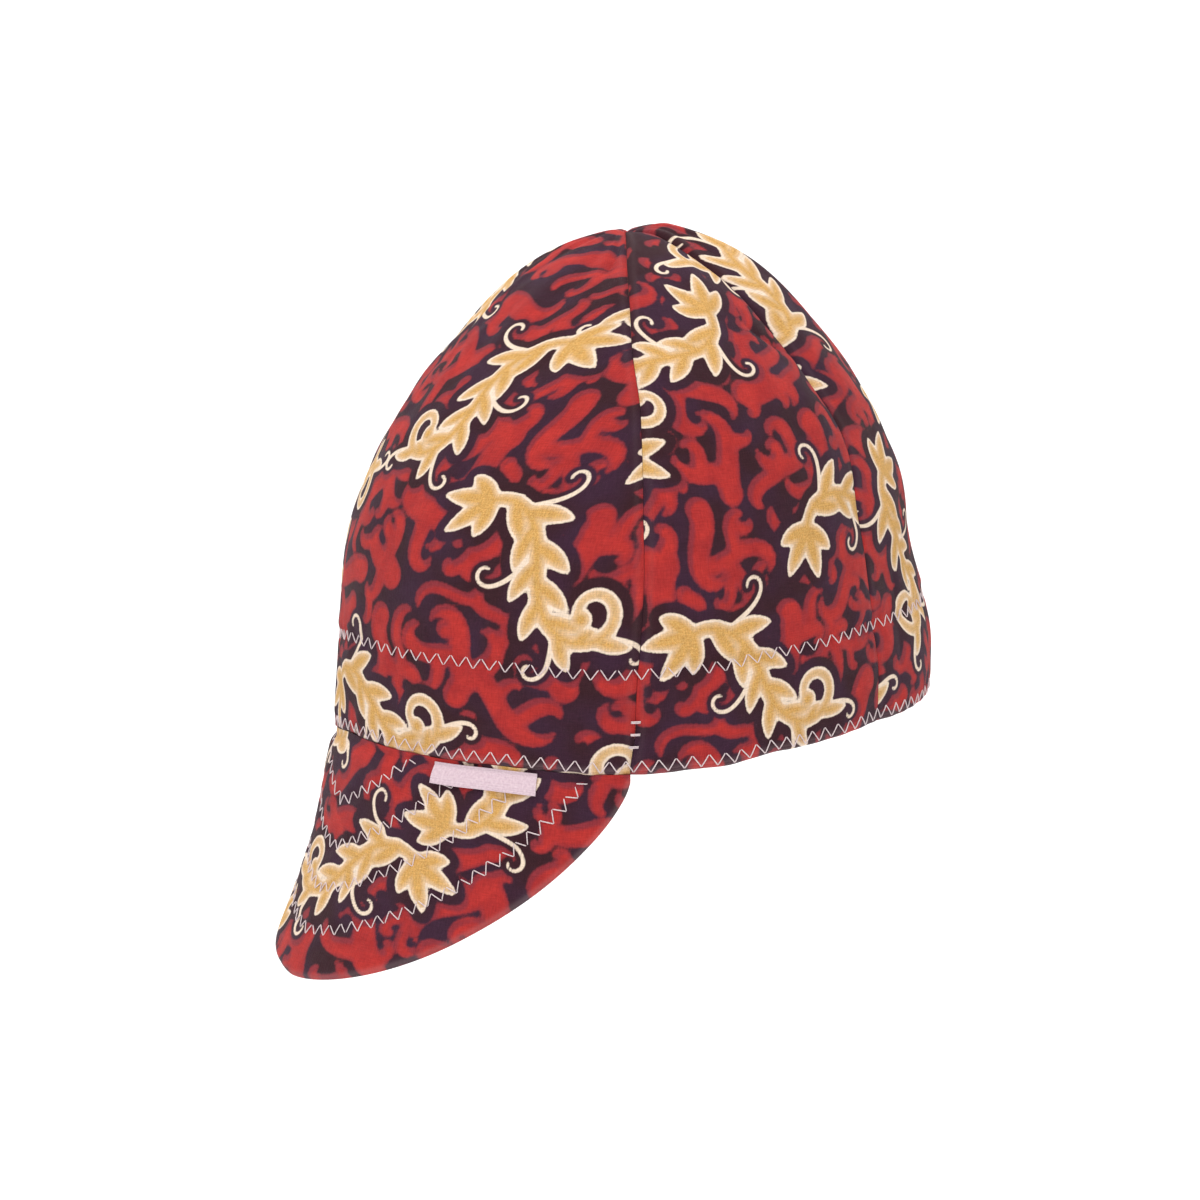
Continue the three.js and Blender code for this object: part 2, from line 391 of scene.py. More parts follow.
def fine_relief(t, h):
    """Creases at the seams, grooves of the stitch rows, puckers and slack between them."""
    arc = turn(0, t) * RIM_DEGREE
    push = -crease_depth(t, h)
    for at, _, _, high in SEAM_VALLEYS:
        d = turn(seam_at(at, h), t) * degree_length(t, h)
        depth = SEAM_GROOVE + SEAM_GROOVE_TOP * high * ease(h / CROWN_HEIGHT, 0.5, 0.9)
        push -= depth * np.exp(-np.abs(d) / SEAM_GROOVE_HALF)
        ripple = np.sin(h / 1.9 + 2 * np.sin(h / 13 + at))
        push += SEAM_RIPPLE * ripple * hump(d, 6) * ease(np.abs(d), 0.5, 3)
    for row in (LOWER_ROW, BAND_HEIGHT):
        push -= ROW_GROOVE * hump(h - row, ROW_GROOVE_HALF)
        push += PUCKER * np.sin(arc / PUCKER_PITCH + 1.5 * np.sin(arc / 17)) * hump(h - row, PUCKER_HALF)
    push += BAND_SWELL * ease(h, BAND_HEIGHT, BAND_HEIGHT + 4) * hump(h - BAND_HEIGHT, 14)
    fade = ease(shrink(h), 0.02, 0.2)
    long_wave = np.sin(arc / 9.0 + 1.7 * np.sin(h / 17) + 0.6) * np.sin(h / 15 + arc / 31)
    short_wave = np.sin(arc / 4.1 - h / 7 + 2 * np.sin(arc / 23 + h / 19))
    push += fade * LONG_SLACK * long_wave
    push += fade * SHORT_SLACK * short_wave
    return push


def facing(surface, t, h):
    """Outward normal of a surface, from points a little to each side."""
    step = 0.25
    low = np.maximum(h - step, 0)
    high = np.minimum(h + step, height_where(TIP_SHARE / 2))
    return unit(np.cross(surface(t + step, h) - surface(t - step, h), surface(t, high) - surface(t, low)))


def outside(t, h):
    """The dome with its valleys, dents and swellings."""
    return plain_crown(t, h) + facing(plain_crown, t, h) * relief(t, h)[..., None]


def crown_point(t, h, depth):
    """Point at a depth under the crown's plain outside."""
    return outside(t, h) - facing(outside, t, h) * np.asarray(depth)[..., None]


def dressed_crown(t, h):
    """The crown's outside with its creases, grooves and puckers."""
    return crown_point(t, h, -fine_relief(t, h))


def rim_arc(t):
    """Length along the rim from the front."""
    steps = np.linspace(-180, 180, 721)
    lengths = degree_length(steps, np.zeros_like(steps)) * (steps[1] - steps[0])
    total = np.cumsum(lengths) - lengths / 2
    return np.interp(t, steps, total - np.interp(0, steps, total))


def arc_direction(arc):
    """Direction at a length along the rim from the front."""
    steps = np.linspace(-180, 180, 721)
    return np.interp(arc, rim_arc(steps), steps)


def dome_heights(count):
    """Heights up the dome, closer together towards its tip."""
    return CROWN_HEIGHT * np.sin(np.linspace(0, math.pi / 2, count)) ** DOME_RISE


def profile_arc(h):
    """Length along the middle of the dome's side from the rim to a height."""
    steps = dome_heights(400)
    r = shrink(steps) * (HALF_LENGTH + HALF_WIDTH) / 2
    arc = np.concatenate([[0], np.cumsum(np.hypot(np.diff(r), np.diff(steps)))])
    return np.interp(h, steps, arc)


def profile_heights(start, pitch):
    """Heights of mesh rows at an even pitch up the dome, from a starting height to the tip."""
    steps = dome_heights(2000)
    top = height_where(TIP_SHARE)
    arcs = profile_arc(steps)
    first, last = profile_arc(start), profile_arc(top)
    rows = np.linspace(first, last, max(2, int((last - first) / pitch)))
    return np.clip(np.interp(rows, arcs, steps), start, top)


def bill_reach(t):
    """Length of the bill from the hem to its outer edge."""
    fall = np.maximum(0, 1 - np.abs(t / FRONT_SEAM) ** BILL_ROUNDNESS) ** BILL_TAPER
    return BILL_END_LENGTH + (BILL_LENGTH - BILL_END_LENGTH) * fall


def bill_root(t):
    """Points under the hem where the bill starts, and the level direction outwards."""
    zero = np.zeros_like(t)
    outer, inner = crown_point(t, zero, zero), crown_point(t, zero, zero + LAYERS)
    out = outer - inner
    out[..., 2] = 0
    root = (outer + inner) / 2
    root[..., 2] = np.minimum(outer[..., 2], inner[..., 2]) - PIECE_GAP
    return root, unit(out)


def bill_grid(t, reach, over):
    """Points of the bill for n directions, and n by m distances from the hem and heights over its middle."""
    root, out = bill_root(t)
    side = (BILL_SIDE_SLOPE * (t / FRONT_SEAM) ** 2)[:, None]
    share = np.linspace(0, 1, BILL_STEPS + 1)[None, :] * np.ones((len(t), 1))
    slope = np.radians(along(BILL_SLOPE, share) + side * ease(share, 0, 0.1))
    step = BILL_LENGTH / BILL_STEPS
    start = np.zeros((len(t), 1))
    run = np.concatenate([start, np.cumsum(np.cos(slope[:, :-1]) * step, 1)], 1)
    drop = np.concatenate([start, np.cumsum(np.sin(slope[:, :-1]) * step, 1)], 1)
    points = np.zeros(reach.shape + (3,))
    for i in range(len(t)):
        s = reach[i] / BILL_LENGTH
        a = np.interp(s, share[i], slope[i])
        r = np.interp(s, share[i], run[i]) + np.sin(a) * over[i]
        d = np.interp(s, share[i], drop[i]) - np.cos(a) * over[i]
        points[i] = root[i] + out[i] * r[:, None]
        points[i, :, 2] -= d
    return points


# Print of the cloth: distance fields on a repeating square of fabric


def discs(points, radii, reach):
    """Columns and rows of the square around a chain of discs, and the distance there to the nearest disc."""
    low = np.floor((points.min(0) - reach) / CELL).astype(int)
    high = np.ceil((points.max(0) + reach) / CELL).astype(int)
    xs, ys = np.arange(low[0], high[0]), np.arange(low[1], high[1])
    gx, gy = np.meshgrid(xs * CELL, ys * CELL, indexing="ij")
    best = np.full(gx.shape, np.inf)
    for (px, py), r in zip(points, radii):
        best = np.minimum(best, np.hypot(gx - px, gy - py) - r)
    return xs % GRID, ys % GRID, best


class Field:
    """Signed distance to everything stamped on the square, blended softly where shapes meet."""

    def __init__(self, soft):
        self.soft = soft
        self.sum = np.zeros((GRID, GRID))

    def stroke(self, points, radii):
        """Stamp a chain of discs, repeating over the square's edges."""
        xs, ys, best = discs(points, radii, float(np.max(radii)) + 7 * self.soft + 3)
        np.add.at(self.sum, (xs[:, None], ys[None, :]), np.exp(-np.maximum(best, -12) / self.soft))

    def distance(self):
        return -self.soft * np.log(np.maximum(self.sum, 1e-12))


def curve(start, heading, length, bends, count):
    """A plane curve whose bend, in turns per length, runs evenly through a list of values."""
    s = np.linspace(0, 1, count)
    bend = np.interp(s, np.linspace(0, 1, len(bends)), bends)
    angle = heading + np.concatenate([[0], np.cumsum(bend[:-1])]) * 2 * math.pi / (count - 1)
    step = length / (count - 1)
    x = start[0] + np.concatenate([[0], np.cumsum(np.cos(angle[:-1]))]) * step
    y = start[1] + np.concatenate([[0], np.cumsum(np.sin(angle[:-1]))]) * step
    return np.stack([x, y], 1), angle


class Thicket:
    """Tongues that grow apart from each other: a new one is kept only where it finds room."""

    def __init__(self):
        self.field = Field(0.4)
        self.room = np.full((GRID, GRID), np.inf)
        self.grown = []

    def at(self, points):
        """Room left at some points."""
        i, j = (np.floor(points / CELL).astype(int) % GRID).T
        return self.room[i, j]

    def fits(self, line, radii, rooted):
        """True where the line keeps its gap, leaving out the discs still beside its own root."""
        away = np.hypot(*(line - line[0]).T)
        free = away > (rooted + radii + TONGUE_GAP if rooted else -1)
        return bool(np.all(self.at(line)[free] > radii[free] + TONGUE_GAP)) and free.sum() > 4

    def keep(self, line, angles, radii):
        """Add a tongue to the print and to those that others grow from."""
        self.field.stroke(line, radii)
        xs, ys, best = discs(line, radii, 12.0)
        spot = np.ix_(xs, ys)
        self.room[spot] = np.minimum(self.room[spot], best)
        self.grown.append((line, angles, radii))


def flames(rng):
    """Curling tongues with round roots and thin tips, many of them branching from one another."""
    thicket = Thicket()
    s = np.linspace(0, 1, TONGUE_POINTS)
    for tries, length, stout, branching in TONGUES:
        for _ in range(tries):
            heading = rng.uniform(0, 2 * math.pi)
            start, rooted = rng.uniform(0, TILE, 2), 0.0
            radii = stout * rng.uniform(0.85, 1.1) * (1 - s ** 1.9) ** 0.75 + 0.3
            if thicket.grown and rng.random() < branching:
                line, angles, parent = thicket.grown[rng.integers(len(thicket.grown))]
                spot = rng.integers(0, 12)
                start, rooted = line[spot], float(parent[spot])
                heading = angles[spot] + rng.choice([-1, 1]) * rng.uniform(0.8, 1.6)
                radii = np.minimum(radii, rooted * 0.85)
            bends = rng.choice([-1, 1]) * rng.uniform(0.4, 0.95) * np.array(TONGUE_BENDS)
            line, angles = curve(start, heading, length * rng.uniform(0.85, 1.15), bends, TONGUE_POINTS)
            if thicket.fits(line, radii, rooted):
                thicket.keep(line, angles, radii)
    return thicket.field.distance() - FATTEN


def blade(field, root, way, length, width, bend):
    """One pointed leaf, widest near its root."""
    count = 12
    line, _ = curve(root, way, length, (0.2 * bend, bend), count)
    s = np.linspace(0, 1, count)
    field.stroke(line, width / 2 * np.sin(math.pi * (0.25 + 0.75 * s)) ** 0.8 + 0.12)


def frond(body, line, middle, heading, size, hand):
    """A stem that rolls up at its tip, with a fan of leaves at its foot, more along it, and tendrils."""
    stem, angles = curve((0, 0), heading, FROND_LENGTH * size, hand * np.array(FROND_BENDS), FROND_POINTS)
    stem += middle - (stem.min(0) + stem.max(0)) / 2
    s = np.linspace(0, 1, FROND_POINTS)
    radii = size * FROND_RADIUS * (np.sin(math.pi * (0.2 + 0.6 * s)) ** 0.6 * (1 - 0.35 * s) + 0.05)
    body.stroke(stem, radii)
    body.stroke(stem[-1:], np.array([FROND_TIP * size]))
    for k, i in enumerate(range(14, FROND_POINTS - 40, 9)):
        side = hand if k % 2 else -hand
        crowded = 0.6 if side == hand and s[i] > 0.55 else 1.0
        reach = size * (15.5 - 6.5 * s[i]) * crowded
        blade(body, stem[i], angles[i] + side * 0.8, reach, (LEAF_WIDTH - 2.2 * s[i]) * size, -0.1 * side)
    for spread, reach in FAN:
        blade(body, stem[0], angles[0] + math.pi + spread, reach * size, LEAF_WIDTH * size, -0.12 * spread)
    for i, way, reach in TENDRILS:
        side = way * hand
        bends = (-0.2 * side, 0.4 * side, 2.4 * side)
        tendril, _ = curve(stem[i], angles[i] + side * 1.1, reach * size, bends, TENDRIL_POINTS)
        line.stroke(tendril, np.linspace(0.9, 0.55, TENDRIL_POINTS))


def fronds():
    """Distances to the gold shapes and to the thin lines."""
    body, line = Field(0.35), Field(0.18)
    for x, y, heading, size, hand in FRONDS:
        frond(body, line, np.array([x, y]) * TILE, math.radians(heading), size, hand)
    return body.distance(), line.distance()


def make_print():
    """Distances to the red, its shaded side, the gold and the lines, at each point of the square."""
    flame = flames(np.random.default_rng(SEED))
    gold, line = fronds()
    flame = np.maximum.reduce([flame, GOLD_HALO - gold, LINE_HALO - line])
    shift = int(round(SHADE_SHIFT / CELL))
    shade = np.roll(flame, (shift, -shift), (0, 1))
    return np.stack([flame, shade, gold, line], -1)


PRINT = make_print()


def sample_print(u, v, place):
    """Print distances at a piece's cloth coordinates, for its place and angle on the cloth."""
    x0, y0, angle = place
    c, s = math.cos(math.radians(angle)), math.sin(math.radians(angle))
    x, y = (u * c - v * s + x0) / CELL, (u * s + v * c + y0) / CELL
    i, j = np.floor(x).astype(int), np.floor(y).astype(int)
    values = 0
    for right, above in ((0, 0), (1, 0), (0, 1), (1, 1)):
        share = np.abs(1 - right - (x - i)) * np.abs(1 - above - (y - j))
        values = values + PRINT[(i + right) % GRID, (j + above) % GRID] * share[..., None]
    return values


# Materials


def srgb(r, g, b):
    """Colour in light units from screen values up to 255."""
    values = []
    for c in (r, g, b):
        c /= 255
        values.append(c / 12.92 if c <= 0.04045 else ((c + 0.055) / 1.055) ** 2.4)
    return (*values, 1)


class Graph:
    """Short names for building a material's nodes."""

    def __init__(self, name):
        self.material = bpy.data.materials.new(name)
        self.material.use_nodes = True
        self.tree = self.material.node_tree
        self.tree.nodes.clear()

    def add(self, kind, *inputs, **settings):
        node = self.tree.nodes.new(kind)
        for key, value in settings.items():
            setattr(node, key, value)
        for i, value in enumerate(inputs):
            self.put(node.inputs[i], value)
        return node

    def put(self, socket, value):
        if isinstance(value, bpy.types.NodeSocket):
            self.tree.links.new(value, socket)
        elif value is not None:
            socket.default_value = value

    def attribute(self, name, output="Fac"):
        return self.add("ShaderNodeAttribute", attribute_name=name).outputs[output]

    def math(self, operation, *values):
        return self.add("ShaderNodeMath", *values, operation=operation).outputs[0]

    def noise(self, vector, scale, detail=2.0, rough=0.5):
        return self.add("ShaderNodeTexNoise", vector, None, scale, detail, rough).outputs["Fac"]

    def below(self, value, soft):
        """1 where the value is under zero, 0 above, with a soft edge."""
        node = self.add("ShaderNodeMapRange", value, soft, -soft, 0.0, 1.0, interpolation_type="SMOOTHSTEP")
        return node.outputs[0]

    def ramp(self, value, low, high, a, b):
        return self.add("ShaderNodeMapRange", value, low, high, a, b).outputs[0]

    def mix(self, factor, a, b):
        node = self.tree.nodes.new("ShaderNodeMix")
        node.data_type = "RGBA"
        self.put(node.inputs[0], factor)
        self.put(node.inputs[6], a)
        self.put(node.inputs[7], b)
        return node.outputs[2]

    def finish(self, colour, rough, height=None, distance=0.0002, strength=0.6, sheen=0.15):
        shader = self.add("ShaderNodeBsdfPrincipled")
        self.put(shader.inputs["Base Color"], colour)
        self.put(shader.inputs["Roughness"], rough)
        shader.inputs["Specular IOR Level"].default_value = 0.16
        shader.inputs["Sheen Weight"].default_value = sheen
        shader.inputs["Sheen Roughness"].default_value = 0.45
        if height is not None:
            bump = self.add("ShaderNodeBump")
            bump.inputs["Strength"].default_value = strength
            bump.inputs["Distance"].default_value = distance
            self.put(bump.inputs["Height"], height)
            self.put(shader.inputs["Normal"], bump.outputs[0])
        out = self.add("ShaderNodeOutputMaterial")
        self.tree.links.new(shader.outputs[0], out.inputs[0])
        return self.material

    def yarns(self, cloth):
        """Uneven yarns: streaks along the weft and the warp, about 1 on average."""
        streaks = []
        for stretch in ((0.3, 2.2, 1), (2.2, 0.3, 1)):
            stretched = self.add("ShaderNodeVectorMath", cloth, stretch, operation="MULTIPLY").outputs[0]
            streaks.append(self.noise(stretched, 1.0, 2.0, 0.65))
        return self.math("ADD", *streaks)

    def weave(self, cloth, pitch):
        """Height of a plain weave: crossing threads on uneven yarns."""
        parts = self.add("ShaderNodeSeparateXYZ", cloth).outputs
        u = self.math("SINE", self.math("MULTIPLY", parts[0], 2 * math.pi / pitch))
        v = self.math("SINE", self.math("MULTIPLY", parts[1], 2 * math.pi / pitch))
        threads = self.math("MULTIPLY", u, v)
        return self.math("ADD", self.math("MULTIPLY", threads, 0.3), self.yarns(cloth))


NAVY = srgb(56, 28, 35)
PLUM = srgb(60, 34, 52)
RED = srgb(185, 51, 47)
RED_DEEP = srgb(166, 45, 45)
CRIMSON = srgb(140, 48, 56)
GOLD = srgb(222, 178, 106)
GOLD_DEEP = srgb(196, 140, 74)
CREAM = srgb(240, 218, 196)
WORN = srgb(214, 190, 190)
REVERSE_PLUM = srgb(96, 72, 84)
REVERSE_RED = srgb(158, 88, 86)
REVERSE_GOLD = srgb(186, 158, 130)
THREAD_SHADE = srgb(204, 184, 188)
THREAD_LIGHT = srgb(230, 214, 212)
LABEL_SHADE = srgb(204, 178, 189)
LABEL_LIGHT = srgb(222, 200, 207)
FLOOR_SHADE = (0.93, 0.93, 0.93, 1)
FLOOR_LIGHT = (0.96, 0.96, 0.96, 1)

# Pitch of the cloth's weave and of the label's ribs
YARN = 0.52
RIB = 0.6


def tongue_colour(g, cloth, flame, shade):
    """Red with a crimson edge and a crimson shaded side."""
    red = g.mix(g.ramp(g.noise(cloth, 0.12, 2.0), 0.35, 0.65, 0.0, 1.0), RED_DEEP, RED)
    shaded = g.mix(g.below(g.math("MULTIPLY", shade, -1.0), 0.7), red, CRIMSON)
    return g.mix(g.ramp(flame, -1.5, -0.1, 0.0, 0.6), shaded, CRIMSON)


def gold_colour(g, cloth, gold):
    """Grained gold that pales towards a cream outline."""
    grain = g.ramp(g.noise(cloth, 1.9, 2.0, 0.7), 0.35, 0.7, 0.0, 1.0)
    pale = g.mix(g.ramp(gold, -2.3, -0.9, 0.0, 0.45), g.mix(grain, GOLD, GOLD_DEEP), CREAM)
    return g.mix(g.below(g.math("SUBTRACT", -0.75, gold), 0.2), pale, CREAM)


def printed_cloth(name):
    """Right side of the print on matte cotton."""
    g = Graph(name)
    cloth = g.attribute("cloth", "Vector")
    rough_edge = g.math("MULTIPLY", g.math("SUBTRACT", g.noise(cloth, 0.9, 3.0, 0.6), 0.5), 0.7)
    flame = g.math("ADD", g.attribute("print_red"), rough_edge)
    shade = g.math("ADD", g.attribute("print_shade"), rough_edge)
    gold = g.math("ADD", g.attribute("print_gold"), g.math("MULTIPLY", rough_edge, 0.8))
    ground = g.mix(g.ramp(g.noise(cloth, 0.045, 2.0), 0.4, 0.62, 0.0, 1.0), NAVY, PLUM)
    colour = g.mix(g.below(flame, 0.45), ground, tongue_colour(g, cloth, flame, shade))
    colour = g.mix(g.below(g.attribute("print_line"), 0.2), colour, CREAM)
    colour = g.mix(g.below(gold, 0.2), colour, gold_colour(g, cloth, gold))
    tint = g.add("ShaderNodeVectorMath", colour, operation="SCALE")
    g.put(tint.inputs["Scale"], g.ramp(g.yarns(cloth), 0.65, 1.35, 0.8, 1.2))
    worn = g.mix(g.math("MULTIPLY", g.attribute("wear"), 0.1), tint.outputs[0], WORN)
    rough = g.ramp(g.noise(cloth, 0.3), 0.3, 0.7, 0.82, 0.95)
    return g.finish(worn, rough, g.weave(cloth, YARN), 0.0003, 0.7, 0.05)


def reverse_cloth(name):
    """Wrong side of the print, where the dyes show through faintly."""
    g = Graph(name)
    cloth = g.attribute("cloth", "Vector")
    flame = g.math("ADD", g.attribute("print_red"), g.math("MULTIPLY", g.noise(cloth, 0.4, 3.0), 1.5))
    colour = g.mix(g.below(flame, 1.5), REVERSE_PLUM, REVERSE_RED)
    colour = g.mix(g.below(g.attribute("print_gold"), 1.0), colour, REVERSE_GOLD)
    return g.finish(colour, 0.95, g.weave(cloth, YARN), 0.00025, 0.5, 0.2)


def thread_material():
    """Pale twisted thread."""
    g = Graph("thread")
    position = g.add("ShaderNodeTexCoord").outputs["Object"]
    twist = g.noise(position, 1800.0, 2.0)
    colour = g.mix(g.ramp(twist, 0.3, 0.7, 0.0, 1.0), THREAD_SHADE, THREAD_LIGHT)
    return g.finish(colour, 0.7, twist, 0.0001, 0.5, 0.3)


def label_material():
    """Pale ribbon with fine ribs."""
    g = Graph("label_weave")
    cloth = g.attribute("cloth", "Vector")
    parts = g.add("ShaderNodeSeparateXYZ", cloth).outputs
    rib = g.math("SINE", g.math("MULTIPLY", parts[1], 2 * math.pi / RIB))
    slub = g.noise(cloth, 1.3, 3.0)
    colour = g.mix(g.ramp(slub, 0.3, 0.7, 0.0, 1.0), LABEL_SHADE, LABEL_LIGHT)
    return g.finish(colour, 0.6, g.math("ADD", g.math("MULTIPLY", rib, 0.5), slub), 0.00015, 0.6, 0.2)


PRINTED = printed_cloth("printed_cloth")
REVERSE = reverse_cloth("reverse_cloth")
THREAD_LOOK = thread_material()
LABEL_LOOK = label_material()


# Meshes


def quads(rows, columns, offset=0, flip=False):
    """Faces of a grid of points stored row by row."""
    j, i = np.meshgrid(np.arange(rows - 1), np.arange(columns - 1), indexing="ij")
    a = (offset + j * columns + i).ravel()
    faces = np.stack([a, a + 1, a + columns + 1, a + columns], 1)
    return faces[:, ::-1] if flip else faces


def link(name, data):
    """Object of some data, in the scene."""
    obj = bpy.data.objects.new(name, data)
    bpy.context.scene.collection.objects.link(obj)
    return obj


def smooth(mesh):
    """Shade all faces smoothly."""
    mesh.polygons.foreach_set("use_smooth", np.ones(len(mesh.polygons), bool))


def add_field(mesh, name, kind, key, values):
    """Store values at the mesh's points under a name that the materials read."""
    layer = mesh.attributes.new(name, kind, "POINT")
    layer.data.foreach_set(key, np.concatenate(values).astype(np.float32).ravel())


def build(name, parts, materials):
    """One mesh object from grids. A part is points (rows, columns, 3), cloth (rows, columns, 2), place on the
    print, wear (rows, columns), material index and whether its faces are turned."""
    points, faces, slots, prints, wears, cloths = [], [], [], [], [], []
    offset = 0
    for xyz, cloth, place, wear, slot, flip in parts:
        rows, columns = xyz.shape[:2]
        points.append(xyz.reshape(-1, 3) * MM)
        faces.append(quads(rows, columns, offset, flip))
        slots.append(np.full(len(faces[-1]), slot))
        prints.append(sample_print(cloth[..., 0], cloth[..., 1], place).reshape(-1, 4))
        wears.append(wear.ravel())
        flat = np.concatenate([cloth, np.zeros((rows, columns, 1))], -1)
        cloths.append(flat.reshape(-1, 3))
        offset += rows * columns
    corners = np.concatenate(faces).astype(np.int32)
    mesh = bpy.data.meshes.new(name)
    mesh.vertices.add(offset)
    mesh.vertices.foreach_set("co", np.concatenate(points).astype(np.float32).ravel())
    mesh.loops.add(corners.size)
    mesh.loops.foreach_set("vertex_index", corners.ravel())
    mesh.polygons.add(len(corners))
    mesh.polygons.foreach_set("loop_start", np.arange(0, corners.size, 4, dtype=np.int32))
    mesh.update(calc_edges=True)
    mesh.polygons.foreach_set("material_index", np.concatenate(slots).astype(np.int32))
    smooth(mesh)
    for k, key in enumerate(("print_red", "print_shade", "print_gold", "print_line")):
        add_field(mesh, key, "FLOAT", "value", [values[:, k] for values in prints])
    add_field(mesh, "wear", "FLOAT", "value", wears)
    add_field(mesh, "cloth", "FLOAT_VECTOR", "vector", cloths)
    mesh.validate()
    for material in materials:
        mesh.materials.append(material)
    obj = link(name, mesh)
    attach(obj, "root")
    return obj


def strip(lines, cloth, place, flip):
    """Part that closes the side between neighbouring lines of points."""
    xyz = np.stack(lines, 1)
    return xyz, cloth[:, None].repeat(len(lines), 1), place, np.zeros(xyz.shape[:2]), 0, flip


# Crown


def panel_grid(start, end, heights, columns):
    """Directions, heights and cloth coordinates of a panel's mesh."""
    k = np.linspace(0, 1, columns)[None, :]
    h = np.repeat(heights[:, None], columns, 1)
    a, b = seam_at(start, heights), seam_at(end, heights)
    a, b = a + SEAM_GAP / degree_length(a, heights), b - SEAM_GAP / degree_length(b, heights)
    t = a[:, None] * (1 - k) + b[:, None] * k
    middle = (start + end) / 2
    u = (t - middle) * degree_length(np.full_like(h, middle), h)
    return t, h, np.stack([u, profile_arc(h)], -1)


def seam_distance(start, end, t, h):
    """Distance from the nearer of a panel's two seams."""
    return np.minimum(t - seam_at(start, h), seam_at(end, h) - t) * degree_length(t, h)


def panel_outside(start, end, columns, place):
    """Printed side of a panel, a little worn along the hem and the seams."""
    t, h, cloth = panel_grid(start, end, profile_heights(FOLD_RADIUS, FINE), columns)
    seam_wear = 0.2 * hump(seam_distance(start, end, t, h) - 2.2, 1.0)
    wear = np.maximum(hump(h - FOLD_RADIUS, 1.2), seam_wear)
    return dressed_crown(t, h), cloth, place, wear, 0, False


def panel_edge(start, end, columns, place):
    """The hem edge, where the cloth turns under."""
    bend = np.linspace(0, math.pi, 9)[:, None]
    t, h, cloth = panel_grid(start, end, np.full(len(bend), FOLD_RADIUS), columns)
    depth = FOLD_RADIUS * (1 - np.cos(bend)) - fine_relief(t, h) * (1 - bend / math.pi)
    edge = crown_point(t, h, depth)
    edge[..., 2] -= FOLD_RADIUS * np.sin(bend)
    cloth[..., 1] -= FOLD_RADIUS * bend
    return edge, cloth, place, np.repeat(hump(bend - 0.8, 0.8), columns, 1), 0, True


def panel_inside(start, end, columns, place):
    """Inside of the cloth above the hem, thicker over the seam allowances."""
    t, h, cloth = panel_grid(start, end, profile_heights(BAND_HEIGHT, COARSE), columns)
    step = ease(ALLOWANCE - seam_distance(start, end, t, h), 0, ALLOWANCE_EDGE)
    depth = INSIDE_DEPTH + ALLOWANCE_DEPTH * step - fine_relief(t, h)
    return crown_point(t, h, depth), cloth, place, np.zeros_like(h), 1, True


def crown_panel(name, start, end, place):
    width = abs(rim_arc(end) - rim_arc(start))
    fine, coarse = int(width / FINE), int(width / COARSE)
    parts = [
        panel_outside(start, end, fine, place),
        panel_edge(start, end, fine, place),
        panel_inside(start, end, coarse, place),
    ]
    panel = build(name + "_cloth", parts, [PRINTED, REVERSE])
    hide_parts(name)


def hem_depth(t, h):
    """Depth of the hem's inside, puckered along the two stitch rows."""
    rows = hump(h - BAND_HEIGHT, 4) + hump(h - LOWER_ROW, 3)
    return LAYERS + HEM_PUCKER * np.sin(t * RIM_DEGREE / PUCKER_PITCH) * rows


def hem_band():
    """The hem turned up inside the band, held by the two stitch rows."""
    columns = int((rim_arc(180) - rim_arc(-180)) / FINE)
    top = BAND_HEIGHT + HEM_LAP
    rows = np.append(np.arange(FOLD_RADIUS, top - 0.5, FINE), [top, top])
    h = np.repeat(rows[:, None], columns, 1)
    t = np.repeat(np.linspace(-180, 180, columns)[None, :], len(rows), 0)
    depth = hem_depth(t, h)
    depth[-2:] = [[LAYERS - PIECE_GAP], [CLOTH_WALL]]
    cloth = np.stack([rim_arc(t), -h], -1)
    parts = [(crown_point(t, h, depth), cloth, HEM_PLACE, np.zeros_like(h), 0, True)]
    band = build("hem_band_cloth", parts, [PRINTED])
    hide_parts("hem_band")


# Bill


def bill_edge():
    """Outer edge of the flat bill: length along the rim and distance from it."""
    t = np.linspace(-FRONT_SEAM, FRONT_SEAM, 241)
    return np.stack([rim_arc(t), bill_reach(t)], 1)


def edge_distance(x, y):
    """Distance of flat bill points from the outer edge."""
    edge = bill_edge()
    best = np.full(x.shape, np.inf)
    for a, b in zip(edge[:-1], edge[1:]):
        d = b - a
        k = np.clip(((x - a[0]) * d[0] + (y - a[1]) * d[1]) / (d @ d), 0, 1)
        best = np.minimum(best, np.hypot(x - a[0] - k * d[0], y - a[1] - k * d[1]))
    return best


def row_drift(x):
    """How much closer to the edge the stitch rows run towards the sides of the bill."""
    return ROW_DRIFT * (x / rim_arc(FRONT_SEAM)) ** 2


def quilting(x, y):
    """Height of the bill's face with its padding and stitch grooves, and the distance from its outer edge."""
    d = edge_distance(x, y)
    push = BILL_WAVE * np.sin(x / 8.3 + 1.3 * np.sin(y / 15)) * np.sin(y / 9.7 + 0.5)
    for row in BILL_ROWS:
        off = d + row_drift(x) - row
        push -= BILL_GROOVE * hump(off, ROW_GROOVE_HALF)
        push += BILL_PUCKER * np.sin(x / 1.5 + y / 3.1) * hump(off, BILL_PUCKER_HALF)
    return push, d


